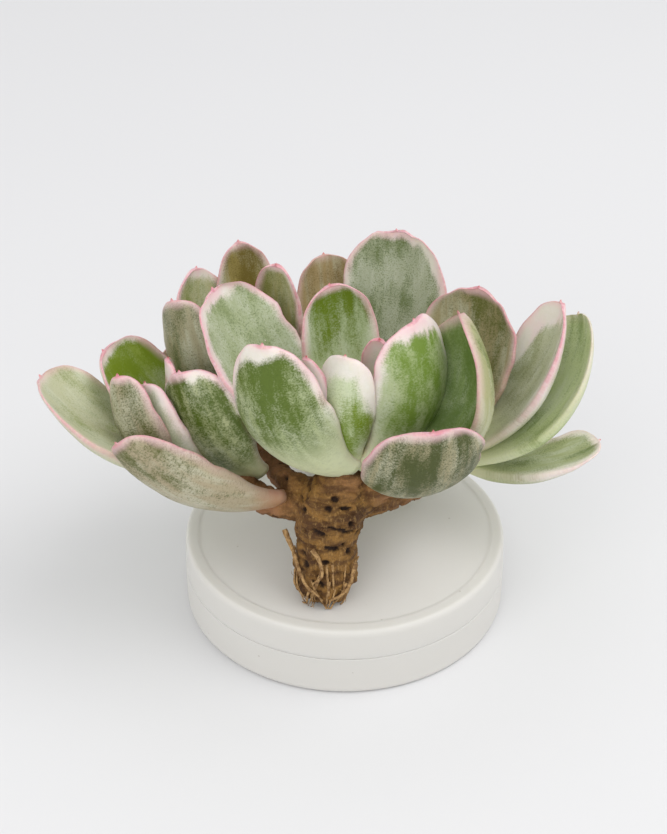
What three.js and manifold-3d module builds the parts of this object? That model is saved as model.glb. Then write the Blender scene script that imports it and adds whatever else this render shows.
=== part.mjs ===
// A bare-rooted variegated rosette succulent standing on a round frosted display stand.
// Millimetres, +Z up. Origin: centre of the stand's flat underside. -Y is the plant's front.

import * as THREE from "three";
import { mergeVertices } from "three/addons/utils/BufferGeometryUtils.js";
import { ParametricGeometry } from "three/addons/geometries/ParametricGeometry.js";
import Module from "manifold-3d";

const wasm = await Module();
wasm.setup();

// ---------- driving dimensions ----------

const GAP = 0.3; // clearance kept between pieces that touch
const STAND_RADIUS = 30;
const STAND_HEIGHT = 14;
const STAND_WALL = 1.4;
const SEAM_HEIGHT = 8; // where the lid's skirt meets the base
const LID_RADIUS = STAND_RADIUS - 0.9;
const LID_BEAD = { radius: 27.7, width: 0.8, height: 0.25 };
const STAND_SEGMENTS = 56;

const LEAF_AROUND = 12; // facets around a leaf's section
const LEAF_ALONG = 9; // facets from a leaf's base to its tip
const LEAF_THICKNESS = 3.4;
const LEAF_NECK = 0.38; // width of a leaf's base as a share of its full width
const LEAF_WIDEST = 0.62; // where a leaf is widest, as a share of its length
const LEAF_BLUNT = 2.8; // roundness of a leaf's end: 2 is an ellipse, more is squarer
const INNER_SHARE = 0.28; // share of the thickness on the inner side of the midrib sheet

const STEM_FOOT = [-4, -19.6, STAND_HEIGHT + GAP];

// Crown of each rosette and of the two short side shoots: the point its leaves grow from.
const CROWNS = {
  centre: [1.5, -12, 37],
  left: [-21, -9, 33],
  right: [18, -1, 31],
  rear_left: [-15, 6, 32],
  rear: [3, 6, 33],
  left_shoot: [-9.6, -12.5, 31.2],
  right_shoot: [9.4, -12, 36.8],
};

// One line for each leaf.
// out, up: where it starts from its crown. turn: heading around +Z from +X.
// rise: slope of its chord above level. length, width: over the blade.
// roll: turn of the blade about its chord. bow: depth of its spoon-like bend.
// sweep: sideways bend. cups: how far the left and right halves curl up.
const LEAF_FIELDS = [
  "crown", "name", "out", "up", "turn", "rise", "length", "width",
  "roll", "bow", "sweep", "cupLeft", "cupRight",
];
const LEAVES = [
  ["centre", "centre_front_left", 2, 0, 205, 63, 32, 17.5, 50, 4, -2.5, 45, 45],
  ["centre", "centre_front_right", 2, 0, 5, 75, 29.5, 18.5, -55, 4, 2.5, 45, 45],
  ["right_shoot", "right_shoot_front", 1, 0, 285, 49, 24, 22, 0, 5, 0, 35, 35],
  ["centre", "centre_front", 1, 3, 245, 82, 21.5, 11, 0, 2, 0, 45, 45],
  ["centre", "centre_cupped", 3.5, 0, 25, 58, 30, 20, 20, 3, -9, 50, 95],
  ["centre", "centre_back", 2, 3, 110, 68, 28, 15, 0, 3, -1, 40, 40],
  ["centre", "centre_back_left", 2, 0, 150, 46, 37.5, 22.5, 0, 3, 0.5, 30, 30],
  ["centre", "centre_back_right", 2, 2, 65, 50, 14, 12, 0, 3, 0, 40, 40],
  ["centre", "centre_bud_right", 2.5, 3, 30, 84, 21, 6.5, 40, 2, 0, 40, 40],
  ["centre", "centre_bud_left", 1, 3, 190, 70, 21, 7, 30, 2, 0, 40, 40],
  ["left_shoot", "left_shoot_front", 2, 0, 200, 32.5, 33, 13, 60, 3, -1, 40, 40],
  ["left", "left_front", -5, 0, 190, 61, 25, 16, 60, 3, 0, 45, 45],
  ["left", "left_front_outer", 7.5, 1, 190, 65, 23.5, 8.8, 60, 3, 0, 40, 40],
  ["left", "left_bud_front", 2, 1, 180, 58, 21, 10, 50, 3, 0, 40, 40],
  ["left", "left_bud_back", 1, 3, 165, 66, 21, 8, 30, 2, 0, 40, 40],
  ["left", "left_back", 2, 2, 158, 41, 27.5, 19, 0, 3, -1.5, 40, 40],
  ["left", "left_outer", 2, 3, 180, 31, 33.5, 19, 0, 3, 2.5, 30, 30],
  ["left", "left_rear", 2, 0, 115, 35, 25, 14, 0, 3, 0, 35, 35],
  ["left", "left_low", 2, -1, 140, 12, 26, 14, 0, 3, 0, 30, 30],
  ["right", "right_upper", 2, 1, 20, 55, 33, 15, 0, 3, -2.5, 40, 40],
  ["right", "right_outer", 2, 0, 25, 44, 33.5, 18, 0, 3, -6, 40, 40],
  ["right", "right_low_front", 2, -1, 0, 10, 26, 11, 0, 2, -2, 25, 25],
  ["right", "right_back", 2, 2, 60, 72, 29, 19, 0, 3, 0, 40, 40],
  ["right", "right_rear", 2, 0, 75, 38, 28, 15, 0, 3, 0, 35, 35],
  ["right", "right_low_rear", 2, -1, 40, 12, 27, 14, 0, 3, 0, 30, 30],
  ["right", "right_bud", 1, 3, 200, 80, 18, 9, 0, 2, 0, 40, 40],
  ["rear", "rear_tall", 2, 0, 65, 69, 35.5, 21, 0, 3, -1.5, 25, 25],
  ["rear", "rear_middle", 2, 0, 112, 58, 31, 15, 0, 3, 0, 35, 35],
  ["rear", "rear_outer", 2, 0, 85, 36, 30, 16, 0, 3, 0, 35, 35],
  ["rear", "rear_right", 2, 0, 45, 40, 27, 14, 0, 3, 0, 35, 35],
  ["rear", "rear_left_low", 2, -2, 130, 22, 27, 14, 0, 3, 0, 30, 30],
  ["rear", "rear_bud_front", 1, 3, 250, 84, 13, 8, 0, 2, 0, 40, 40],
  ["rear", "rear_bud_right", 1, 3, 30, 80, 13, 8, 0, 2, 0, 40, 40],
  ["rear", "rear_resting_left", 2, -3, 108, -40, 23.5, 12, 0, 3, 0, 30, 30],
  ["rear", "rear_resting_right", 2, -3, 62, -40, 23.5, 12, 0, 3, 0, 30, 30],
  ["rear_left", "rear_left_tall", 2, 0, 107, 68, 34, 12.5, 0, 3, -1, 35, 35],
  ["rear_left", "rear_left_upright", 2, 2, 60, 83, 30, 10.5, 0, 3, 0, 35, 35],
  ["rear_left", "rear_left_pale", 2, 1, 140, 64, 30.5, 15, 0, 3, 2.5, 35, 35],
  ["rear_left", "rear_left_grey", 5, 0, 185, 70, 30, 15, 50, 3, 1.5, 35, 35],
  ["rear_left", "rear_left_back", 2, -1, 95, 30, 27, 15, 0, 3, 0, 35, 35],
  ["rear_left", "rear_left_side", 2, -2, 145, 14, 27, 14, 0, 3, 0, 30, 30],
  ["rear_left", "rear_left_bud", 1, 3, 250, 82, 20, 9, 0, 2, 0, 40, 40],
].map((row) => Object.fromEntries(row.map((value, field) => [LEAF_FIELDS[field], value])));

// Leaves whose outline differs from the common spoon shape.
const LEAF_SHAPES = {
  centre_front_left: { neck: 0.5, widest: 0.5 },
  left_outer: { neck: 0.3, widest: 0.66, blunt: 3.2 },
  left_shoot_front: { neck: 0.28 },
  rear_left_tall: { blunt: 2.4 },
  rear_tall: { widest: 0.55, blunt: 3.2 },
  right_low_front: { neck: 0.18, widest: 0.75 },
};

// Trunk and branches: centre line points and the radius at each of them.
const LIMBS = [
  {
    points: [STEM_FOOT, [-3.7, -18.4, 18.5], [-3.2, -16.2, 24], [-2.2, -13.8, 30], [0.4, -12.4, 36.5]],
    radii: [3.9, 5.2, 5.5, 6, 3],
  },
  {
    points: [[-3, -13, 28.5], [-10.6, -12.8, 29], [-15, -12, 30], [-21, -9, 34]],
    radii: [4, 2.4, 2.4, 1.8],
  },
  {
    points: [[-1, -12, 29.5], [9, -9.4, 29.6], [14.5, -4.6, 29.4], [18, -1, 32.5]],
    radii: [4, 2.8, 2.4, 1.8],
  },
  {
    points: [[-1, -12, 30], [2, -4, 28.6], [3, 3, 29.4], [3, 6, 34]],
    radii: [4.2, 3.2, 3, 1.8],
  },
  {
    points: [[-3, -12.5, 30.6], [-8.2, -10.5, 31], [-11.5, -6, 30.6], [-14, 0, 30.8], [-15, 6, 33]],
    radii: [3, 2.2, 2, 2, 1.8],
  },
  {
    points: [[2, -12.5, 30.5], [6.6, -12.3, 33.4], [9.4, -12, 36.8]],
    radii: [3.4, 2.4, 1.6],
  },
];
const LIMB_AROUND = 12;
const LIMB_STEP = 2.6; // length of one facet along a limb

// Dry root fibres left on the trunk: centre line points and radius.
const ROOTS = {
  root_left: {
    radius: 0.45,
    points: [
      [-10.7, -15.8, 25.8], [-9.5, -17.8, 23.6], [-8.6, -20.7, 22.4],
      [-6.8, -23.4, 19.9], [-4.8, -24.4, 17.6],
    ],
  },
  root_front: {
    radius: 0.4,
    points: [[-5.8, -21.7, 25.9], [-4.4, -22.8, 24.1], [-4.2, -23.6, 22.1], [-5.6, -24, 19.7]],
  },
  root_curl: {
    radius: 0.4,
    points: [[1.7, -20.6, 22.3], [1, -22.1, 19.5], [-0.6, -23.6, 17.6], [-2.8, -24.4, 16.5]],
  },
};

// ---------- colours ----------

const COLOURS = {
  leaf: { centre: 0xa9ba92, left: 0x9fb187, right: 0xa3b58e, rear_left: 0x8fa27a, rear: 0x96a883 },
  stem: 0x8a6a48,
  root: 0x9c8058,
  stand: 0xdedcd8,
};

// ---------- solids ----------

// A closed three.js geometry as a manifold solid.
function toSolid(geometry) {
  const bare = geometry.clone();
  bare.deleteAttribute("normal");
  bare.deleteAttribute("uv");
  const merged = mergeVertices(bare, 1e-4);
  const corners = merged.index.array;
  const kept = [];
  for (let i = 0; i < corners.length; i += 3) {
    const [a, b, c] = [corners[i], corners[i + 1], corners[i + 2]];
    if (a !== b && b !== c && c !== a) kept.push(a, b, c);
  }
  const mesh = new wasm.Mesh({
    numProp: 3,
    vertProperties: new Float32Array(merged.attributes.position.array),
    triVerts: new Uint32Array(kept),
  });
  return new wasm.Manifold(mesh);
}

// The largest single body of a solid.
function mainBody(solid) {
  return solid.decompose().reduce((best, next) => (next.volume() > best.volume() ? next : best));
}

function toMesh(name, solid, colour, roughness) {
  const { vertProperties, triVerts, numProp } = solid.getMesh();
  const positions = new Float32Array((vertProperties.length / numProp) * 3);
  for (let i = 0; i < positions.length / 3; i += 1) {
    for (let axis = 0; axis < 3; axis += 1) positions[i * 3 + axis] = vertProperties[i * numProp + axis];
  }
  const geometry = new THREE.BufferGeometry();
  geometry.setAttribute("position", new THREE.BufferAttribute(positions, 3));
  geometry.setIndex(new THREE.BufferAttribute(new Uint32Array(triVerts), 1));
  geometry.computeVertexNormals();
  const material = new THREE.MeshStandardMaterial({ color: colour, roughness, metalness: 0 });
  const mesh = new THREE.Mesh(geometry, material);
  mesh.name = name;
  return mesh;
}

function boxesMeet(a, b) {
  const [p, q] = [a.boundingBox(), b.boundingBox()];
  return [0, 1, 2].every((axis) => p.min[axis] < q.max[axis] && q.min[axis] < p.max[axis]);
}

// ---------- leaves ----------

const { degToRad: radians, smoothstep, clamp, lerp } = THREE.MathUtils;

// Half width along the blade, as a share of the widest half width.
function bladeShare(s, neck, widest, blunt) {
  const rise = neck + (1 - neck) * Math.sin((Math.min(s / widest, 1) * Math.PI) / 2) ** 1.6;
  const end = Math.max((s - widest) / (1 - widest), 0);
  return rise * Math.max(1 - end ** blunt, 0) ** (1 / (blunt - 0.4));
}

// Stations crowd towards the round tip.
function bladeStation(v, widest) {
  if (v < 0.5) return (v / 0.5) * widest;
  return widest + (1 - widest) * Math.sin(((v - 0.5) / 0.5) * (Math.PI / 2));
}

// A fleshy spoon-shaped leaf. grow swells it all round, for clearance cuts.
function leafSolid(leaf, grow) {
  const { neck = LEAF_NECK, widest = LEAF_WIDEST, blunt = LEAF_BLUNT } = LEAF_SHAPES[leaf.name] ?? {};
  const [turn, rise, roll] = [radians(leaf.turn), radians(leaf.rise), radians(leaf.roll)];
  const away = new THREE.Vector3(Math.cos(turn), Math.sin(turn), 0);
  const chord = away.clone().multiplyScalar(Math.cos(rise)).setZ(Math.sin(rise));
  const side = new THREE.Vector3(-Math.sin(turn), Math.cos(turn), 0).applyAxisAngle(chord, roll);
  const inner = new THREE.Vector3().crossVectors(chord, side);
  const base = new THREE.Vector3(...CROWNS[leaf.crown]);
  base.addScaledVector(away, leaf.out);
  base.z += leaf.up;

  const surface = (u, v, target) => {
    const s = bladeStation(v, widest);
    const arc = 4 * s * (1 - s);
    const slope = (4 - 8 * s) / leaf.length;
    const heading = chord.clone().addScaledVector(inner, -slope * leaf.bow);
    heading.addScaledVector(side, slope * leaf.sweep).normalize();
    const across = side.clone().addScaledVector(heading, -heading.dot(side)).normalize();
    const normal = new THREE.Vector3().crossVectors(heading, across);
    target.copy(base).addScaledVector(chord, s * leaf.length);
    target.addScaledVector(inner, -arc * leaf.bow).addScaledVector(side, arc * leaf.sweep);

    const angle = 2 * Math.PI * u;
    const share = Math.cos(angle);
    const closed = v === 0 || v === 1;
    const halfWidth = closed ? 0 : (leaf.width / 2) * bladeShare(s, neck, widest, blunt) + grow;
    const spread = 0.5 + 0.5 * smoothstep(s, 0, 0.5);
    const curl = radians(share > 0 ? leaf.cupLeft : leaf.cupRight) * spread;
    const bend = curl * Math.abs(share);
    const reach = halfWidth / curl;
    const taper = (0.75 + 0.25 * smoothstep(s, 0, 0.3)) * (1 - 0.75 * smoothstep(s, 0.45, 1));
    const lift = Math.sin(angle);
    const layer = lift > 0 ? INNER_SHARE : 1 - INNER_SHARE;
    const full = LEAF_THICKNESS * taper * layer * Math.sign(lift) * Math.abs(lift) ** 0.8;
    const depth = closed ? 0 : full + grow * lift;
    target.addScaledVector(across, Math.sign(share) * (reach * Math.sin(bend) - depth * Math.sin(bend)));
    target.addScaledVector(normal, reach * (1 - Math.cos(bend)) + depth * Math.cos(bend));
    if (closed) target.addScaledVector(chord, (v === 0 ? -1 : 1) * (grow + 0.2));
  };
  return toSolid(new ParametricGeometry(surface, LEAF_AROUND, LEAF_ALONG));
}

// ---------- stem ----------

// A tapering limb along a smooth line, closed to a point at both ends.
function limbSolid({ points, radii }, grow) {
  const line = new THREE.CatmullRomCurve3(points.map((point) => new THREE.Vector3(...point)));
  const along = Math.ceil(line.getLength() / LIMB_STEP) + 2;
  const surface = (u, v, target) => {
    const closed = v === 0 || v === 1;
    const t = clamp((v * along - 1) / (along - 2), 0, 1);
    const heading = line.getTangent(t);
    const sideways = new THREE.Vector3(0, 1, 0);
    if (Math.abs(heading.y) > 0.8) sideways.set(1, 0, 0);
    sideways.addScaledVector(heading, -heading.dot(sideways)).normalize();
    const other = new THREE.Vector3().crossVectors(heading, sideways);
    const place = t * (radii.length - 1);
    const index = Math.min(Math.floor(place), radii.length - 2);
    const radius = closed ? 0 : lerp(radii[index], radii[index + 1], place - index) + grow;
    const angle = 2 * Math.PI * u;
    target.copy(line.getPoint(t));
    target.addScaledVector(sideways, radius * Math.cos(angle));
    target.addScaledVector(other, radius * Math.sin(angle));
    if (closed) target.addScaledVector(heading, v === 0 ? -grow : radii.at(-1) * 0.4 + grow);
  };
  return toSolid(new ParametricGeometry(surface, LIMB_AROUND, along));
}

// The whole branched stem, its foot cut flat where it rests on the stand.
function stemSolid(grow) {
  const ground = new THREE.BoxGeometry(2 * STAND_RADIUS, 2 * STAND_RADIUS, STAND_HEIGHT);
  ground.translate(0, 0, STAND_HEIGHT / 2 + GAP - grow);
  const limbs = LIMBS.map((limb) => limbSolid(limb, grow));
  return limbs.reduce((whole, limb) => whole.add(limb)).subtract(toSolid(ground));
}

function rootSolid({ points, radius }) {
  const line = new THREE.CatmullRomCurve3(points.map((point) => new THREE.Vector3(...point)));
  const outline = new THREE.Shape();
  outline.absarc(0, 0, radius, 0, 2 * Math.PI);
  const sweep = { extrudePath: line, steps: 8, curveSegments: 3, bevelEnabled: false };
  return toSolid(new THREE.ExtrudeGeometry(outline, sweep));
}

// ---------- stand ----------

function turned(profile) {
  const points = profile.map(([radius, height]) => new THREE.Vector2(radius, height));
  points.push(points[0]);
  return toSolid(new THREE.LatheGeometry(points, STAND_SEGMENTS).rotateX(Math.PI / 2));
}

// Open-topped cup with a neck that the lid's skirt slides over.
function standBase() {
  const neck = LID_RADIUS - STAND_WALL - GAP;
  return turned([
    [0, 0],
    [STAND_RADIUS - 0.8, 0],
    [STAND_RADIUS, 0.8],
    [STAND_RADIUS, SEAM_HEIGHT - 0.6],
    [STAND_RADIUS - 0.4, SEAM_HEIGHT],
    [neck, SEAM_HEIGHT],
    [neck, STAND_HEIGHT - STAND_WALL - GAP],
    [neck - STAND_WALL, STAND_HEIGHT - STAND_WALL - GAP],
    [neck - STAND_WALL, STAND_WALL],
    [0, STAND_WALL],
  ]);
}

// Flat lid with a skirt and a fine raised bead just inside its edge.
function standLid() {
  const inside = LID_RADIUS - STAND_WALL;
  const { radius, width, height } = LID_BEAD;
  return turned([
    [0, STAND_HEIGHT - STAND_WALL],
    [inside, STAND_HEIGHT - STAND_WALL],
    [inside, SEAM_HEIGHT + GAP],
    [LID_RADIUS + 0.2, SEAM_HEIGHT + GAP],
    [LID_RADIUS, STAND_HEIGHT - 0.4],
    [LID_RADIUS - 0.4, STAND_HEIGHT],
    [radius + width / 2, STAND_HEIGHT],
    [radius + width / 4, STAND_HEIGHT + height],
    [radius - width / 4, STAND_HEIGHT + height],
    [radius - width / 2, STAND_HEIGHT],
    [0, STAND_HEIGHT],
  ]);
}

// ---------- assembly ----------

const plant = new THREE.Group();
plant.add(toMesh("stand_base", standBase(), COLOURS.stand, 0.45));
plant.add(toMesh("stand_lid", standLid(), COLOURS.stand, 0.35));
plant.add(toMesh("stem", stemSolid(0), COLOURS.stem, 0.9));

const stemClearance = stemSolid(GAP);
for (const [name, root] of Object.entries(ROOTS)) {
  plant.add(toMesh(name, mainBody(rootSolid(root).subtract(stemClearance)), COLOURS.root, 0.95));
}

// Each leaf gives way to the stem and to the leaves listed before it.
const cutters = [stemClearance];
for (const leaf of LEAVES) {
  let solid = leafSolid(leaf, 0);
  for (const cutter of cutters) {
    if (boxesMeet(solid, cutter)) solid = solid.subtract(cutter);
  }
  const colour = COLOURS.leaf[leaf.crown] ?? COLOURS.leaf.centre;
  plant.add(toMesh(`leaf_${leaf.name}`, mainBody(solid), colour, 0.55));
  cutters.push(leafSolid(leaf, GAP).add(leafSolid(leaf, 0)));
}

export default plant;
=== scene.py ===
"""A bare-rooted variegated rosette succulent standing on a round frosted display stand."""
import math
import random

import bpy
from mathutils import Matrix, Vector, kdtree, noise

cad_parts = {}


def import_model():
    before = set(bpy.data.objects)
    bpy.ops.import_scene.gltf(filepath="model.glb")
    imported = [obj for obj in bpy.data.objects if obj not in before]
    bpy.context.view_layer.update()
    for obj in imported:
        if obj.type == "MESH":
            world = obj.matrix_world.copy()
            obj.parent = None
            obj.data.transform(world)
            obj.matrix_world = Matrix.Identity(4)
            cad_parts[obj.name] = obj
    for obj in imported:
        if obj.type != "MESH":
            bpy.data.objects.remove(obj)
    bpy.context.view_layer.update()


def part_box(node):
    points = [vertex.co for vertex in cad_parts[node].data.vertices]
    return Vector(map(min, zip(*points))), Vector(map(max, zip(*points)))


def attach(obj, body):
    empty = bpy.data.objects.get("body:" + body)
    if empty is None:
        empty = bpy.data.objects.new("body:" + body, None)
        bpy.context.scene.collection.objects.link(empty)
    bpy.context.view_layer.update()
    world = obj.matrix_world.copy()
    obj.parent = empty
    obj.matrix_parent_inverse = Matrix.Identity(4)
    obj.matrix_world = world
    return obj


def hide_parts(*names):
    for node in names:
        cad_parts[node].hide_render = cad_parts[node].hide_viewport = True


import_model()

BODY = "root"
MM = 0.001

# ---------- sizes, in millimetres ----------

STAND_RADIUS = (Vector(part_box("stand_base")[1]) / MM).x
LID_BEAD_HEIGHT = 0.25
LID_BEAD_RADIUS = 27.7
STAND_TOP = (Vector(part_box("stand_lid")[1]) / MM).z - LID_BEAD_HEIGHT
STAND_WALL = 1.4
STAND_SEGMENTS = 144
LID_RADIUS = STAND_RADIUS - 0.9
NECK_PLAY = 0.3
SEAM_HEIGHT = 8.0
SEAM_GAP = 0.05
HOLD = 0.15    # how near a corner the extra point lies that keeps a flat's shading flat

LEAF_AROUND = 44
LEAF_ALONG = 34
LEAF_THICKNESS = 3.4
INNER_SHARE = 0.28    # of the thickness, on the cupped side
LEAF_NECK = 0.38      # width at the base, as a share of the full width
LEAF_WIDEST = 0.62    # where the leaf is widest, as a share of its length
LEAF_BLUNT = 2.8      # how round its tip is
TIP_SPIKE = 0.6
SPIKE_RADIUS = 0.28
EDGE_RIPPLE = 1.1     # of the edge in and out, at a wave of 1
EDGE_LIFT = 1.3       # of the edge up and down, at a wave of 1
TIP_NOTCH = 1.2

# ---------- the plant's layout, as in the CAD source ----------

CROWNS = {
    "centre": (1.5, -12, 37),
    "left": (-21, -9, 33),
    "right": (18, -1, 31),
    "rear_left": (-15, 6, 32),
    "rear": (3, 6, 33),
    "left_shoot": (-9.6, -12.5, 31.2),
    "right_shoot": (9.4, -12, 36.8),
}

# out and up: where a leaf starts, from its crown. turn, rise and roll: which way it points, in degrees.
# bow and sweep: how far its middle bends outwards and sideways.
# cup_left and cup_right: how far each half curls, in degrees.
LEAF_FIELDS = (
    "crown", "name", "out", "up", "turn", "rise", "length", "width",
    "roll", "bow", "sweep", "cup_left", "cup_right",
)
LEAVES = [
    ("centre", "centre_front_left", 2, 0, 205, 63, 32, 17.5, 50, 4, -2.5, 45, 45),
    ("centre", "centre_front_right", 2, 0, 5, 75, 29.5, 18.5, -55, 4, 2.5, 45, 45),
    ("right_shoot", "right_shoot_front", 1, 0, 285, 49, 24, 22, 0, 5, 0, 35, 35),
    ("centre", "centre_front", 1, 3, 245, 82, 21.5, 11, 0, 2, 0, 45, 45),
    ("centre", "centre_cupped", 3.5, 0, 25, 58, 30, 20, 20, 3, -9, 50, 95),
    ("centre", "centre_back", 2, 3, 110, 68, 28, 15, 0, 3, -1, 40, 40),
    ("centre", "centre_back_left", 2, 0, 150, 46, 37.5, 22.5, 0, 3, 0.5, 30, 30),
    ("centre", "centre_back_right", 2, 2, 65, 50, 14, 12, 0, 3, 0, 40, 40),
    ("centre", "centre_bud_right", 2.5, 3, 30, 84, 21, 6.5, 40, 2, 0, 40, 40),
    ("centre", "centre_bud_left", 1, 3, 190, 70, 21, 7, 30, 2, 0, 40, 40),
    ("left_shoot", "left_shoot_front", 2, 0, 200, 32.5, 33, 13, 60, 3, -1, 40, 40),
    ("left", "left_front", -5, 0, 190, 61, 25, 16, 60, 3, 0, 45, 45),
    ("left", "left_front_outer", 7.5, 1, 190, 65, 23.5, 8.8, 60, 3, 0, 40, 40),
    ("left", "left_bud_front", 2, 1, 180, 58, 21, 10, 50, 3, 0, 40, 40),
    ("left", "left_bud_back", 1, 3, 165, 66, 21, 8, 30, 2, 0, 40, 40),
    ("left", "left_back", 2, 2, 158, 41, 27.5, 19, 0, 3, -1.5, 40, 40),
    ("left", "left_outer", 2, 3, 180, 31, 33.5, 19, 0, 3, 2.5, 30, 30),
    ("left", "left_rear", 2, 0, 115, 35, 25, 14, 0, 3, 0, 35, 35),
    ("left", "left_low", 2, -1, 140, 12, 26, 14, 0, 3, 0, 30, 30),
    ("right", "right_upper", 2, 1, 20, 55, 33, 15, 0, 3, -2.5, 40, 40),
    ("right", "right_outer", 2, 0, 25, 44, 33.5, 18, 0, 3, -6, 40, 40),
    ("right", "right_low_front", 2, -1, 0, 10, 26, 11, 0, 2, -2, 25, 25),
    ("right", "right_back", 2, 2, 60, 72, 29, 19, 0, 3, 0, 40, 40),
    ("right", "right_rear", 2, 0, 75, 38, 28, 15, 0, 3, 0, 35, 35),
    ("right", "right_low_rear", 2, -1, 40, 12, 27, 14, 0, 3, 0, 30, 30),
    ("right", "right_bud", 1, 3, 200, 80, 18, 9, 0, 2, 0, 40, 40),
    ("rear", "rear_tall", 2, 0, 65, 69, 35.5, 21, 0, 3, -1.5, 25, 25),
    ("rear", "rear_middle", 2, 0, 112, 58, 31, 15, 0, 3, 0, 35, 35),
    ("rear", "rear_outer", 2, 0, 85, 36, 30, 16, 0, 3, 0, 35, 35),
    ("rear", "rear_right", 2, 0, 45, 40, 27, 14, 0, 3, 0, 35, 35),
    ("rear", "rear_left_low", 2, -2, 130, 22, 27, 14, 0, 3, 0, 30, 30),
    ("rear", "rear_bud_front", 1, 3, 250, 84, 13, 8, 0, 2, 0, 40, 40),
    ("rear", "rear_bud_right", 1, 3, 30, 80, 13, 8, 0, 2, 0, 40, 40),
    ("rear", "rear_resting_left", 2, -3, 108, -40, 23.5, 12, 0, 3, 0, 30, 30),
    ("rear", "rear_resting_right", 2, -3, 62, -40, 23.5, 12, 0, 3, 0, 30, 30),
    ("rear_left", "rear_left_tall", 2, 0, 107, 68, 34, 12.5, 0, 3, -1, 35, 35),
    ("rear_left", "rear_left_upright", 2, 2, 60, 83, 30, 10.5, 0, 3, 0, 35, 35),
    ("rear_left", "rear_left_pale", 2, 1, 140, 64, 30.5, 15, 0, 3, 2.5, 35, 35),
    ("rear_left", "rear_left_grey", 5, 0, 185, 70, 30, 15, 50, 3, 1.5, 35, 35),
    ("rear_left", "rear_left_back", 2, -1, 95, 30, 27, 15, 0, 3, 0, 35, 35),
    ("rear_left", "rear_left_side", 2, -2, 145, 14, 27, 14, 0, 3, 0, 30, 30),
    ("rear_left", "rear_left_bud", 1, 3, 250, 82, 20, 9, 0, 2, 0, 40, 40),
]
LEAVES = [dict(zip(LEAF_FIELDS, row)) for row in LEAVES]

LEAF_SHAPES = {
    "centre_front_left": {"neck": 0.5, "widest": 0.5},
    "left_outer": {"neck": 0.3, "widest": 0.66, "blunt": 3.2},
    "left_shoot_front": {"neck": 0.28},
    "rear_left_tall": {"blunt": 2.4},
    "rear_tall": {"widest": 0.55, "blunt": 3.2},
    "right_low_front": {"neck": 0.18, "widest": 0.75},
}

# The trunk and then its branches: the points of each one's middle line, and radii spread along it.
STEM_FOOT = (-4, -19.6, STAND_TOP + 0.3)
LIMBS = [
    (
        (STEM_FOOT, (-3.7, -18.4, 18.5), (-3.2, -16.2, 24), (-2.2, -13.8, 30), (0.4, -12.4, 36.5)),
        (3.9, 5.2, 5.5, 6, 3),
    ),
    (((-3, -13, 28.5), (-10.6, -12.8, 29), (-15, -12, 30), (-21, -9, 34)), (4, 2.4, 2.4, 1.8)),
    (((-1, -12, 29.5), (9, -9.4, 29.6), (14.5, -4.6, 29.4), (18, -1, 32.5)), (4, 2.8, 2.4, 1.8)),
    (((-1, -12, 30), (2, -4, 28.6), (3, 3, 29.4), (3, 6, 34)), (4.2, 3.2, 3, 1.8)),
    (
        ((-3, -12.5, 30.6), (-8.2, -10.5, 31), (-11.5, -6, 30.6), (-14, 0, 30.8), (-15, 6, 33)),
        (3, 2.2, 2, 2, 1.8),
    ),
    (((2, -12.5, 30.5), (6.6, -12.3, 33.4), (9.4, -12, 36.8)), (3.4, 2.4, 1.6)),
]
LIMB_STEPS = 40
LIMB_AROUND = 32
STEM_VOXEL = 0.28
RING_PITCH = 2.5
RING_GROOVE = 0.3

# Leaf scars and splits on the front of the trunk: place, half length, half height.
SCARS = [
    ((-4.9, -21.6, 28.8), 1.6, 0.55),
    ((-2.1, -22.4, 26.2), 2.1, 0.6),
    ((1.6, -20.9, 24.3), 0.9, 0.8),
    ((1.1, -19.4, 29.6), 0.8, 0.7),
    ((-2.9, -19.2, 32.9), 0.9, 0.7),
    ((-7.2, -17, 31.2), 0.8, 0.7),
    ((-1.7, -18.3, 34.4), 0.9, 0.7),
    ((-3.4, -23.4, 23.9), 0.9, 0.6),
    ((-0.5, -20.6, 29), 1.2, 0.45),
    ((2.6, -18.6, 26.9), 0.9, 0.8),
    ((-6.9, -21.6, 22.6), 1.1, 0.8),
    ((-4.4, -23.8, 19.6), 1.2, 0.8),
]
LOOSE_SCARS = 46

# Dry fibres: the radius of each and the points of its middle line.
ROOTS = {
    "root_left": (
        0.45,
        (
            (-10.7, -15.8, 25.8), (-9.5, -17.8, 23.6), (-8.6, -20.7, 22.4), (-6.8, -23.4, 19.9),
            (-4.8, -24.4, 17.6),
        ),
    ),
    "root_front": (0.4, ((-5.8, -21.7, 25.9), (-4.4, -22.8, 24.1), (-4.2, -23.6, 22.1), (-5.6, -24, 19.7))),
    "root_curl": (0.4, ((1.7, -20.6, 22.3), (1, -22.1, 19.5), (-0.6, -23.6, 17.6), (-2.8, -24.4, 16.5))),
}
ROOT_STEPS = 36
ROOT_WAVE = 0.25
WRAPPED_STRANDS = 22
FINE_HAIRS = 26

# ---------- the leaves' looks ----------

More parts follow.
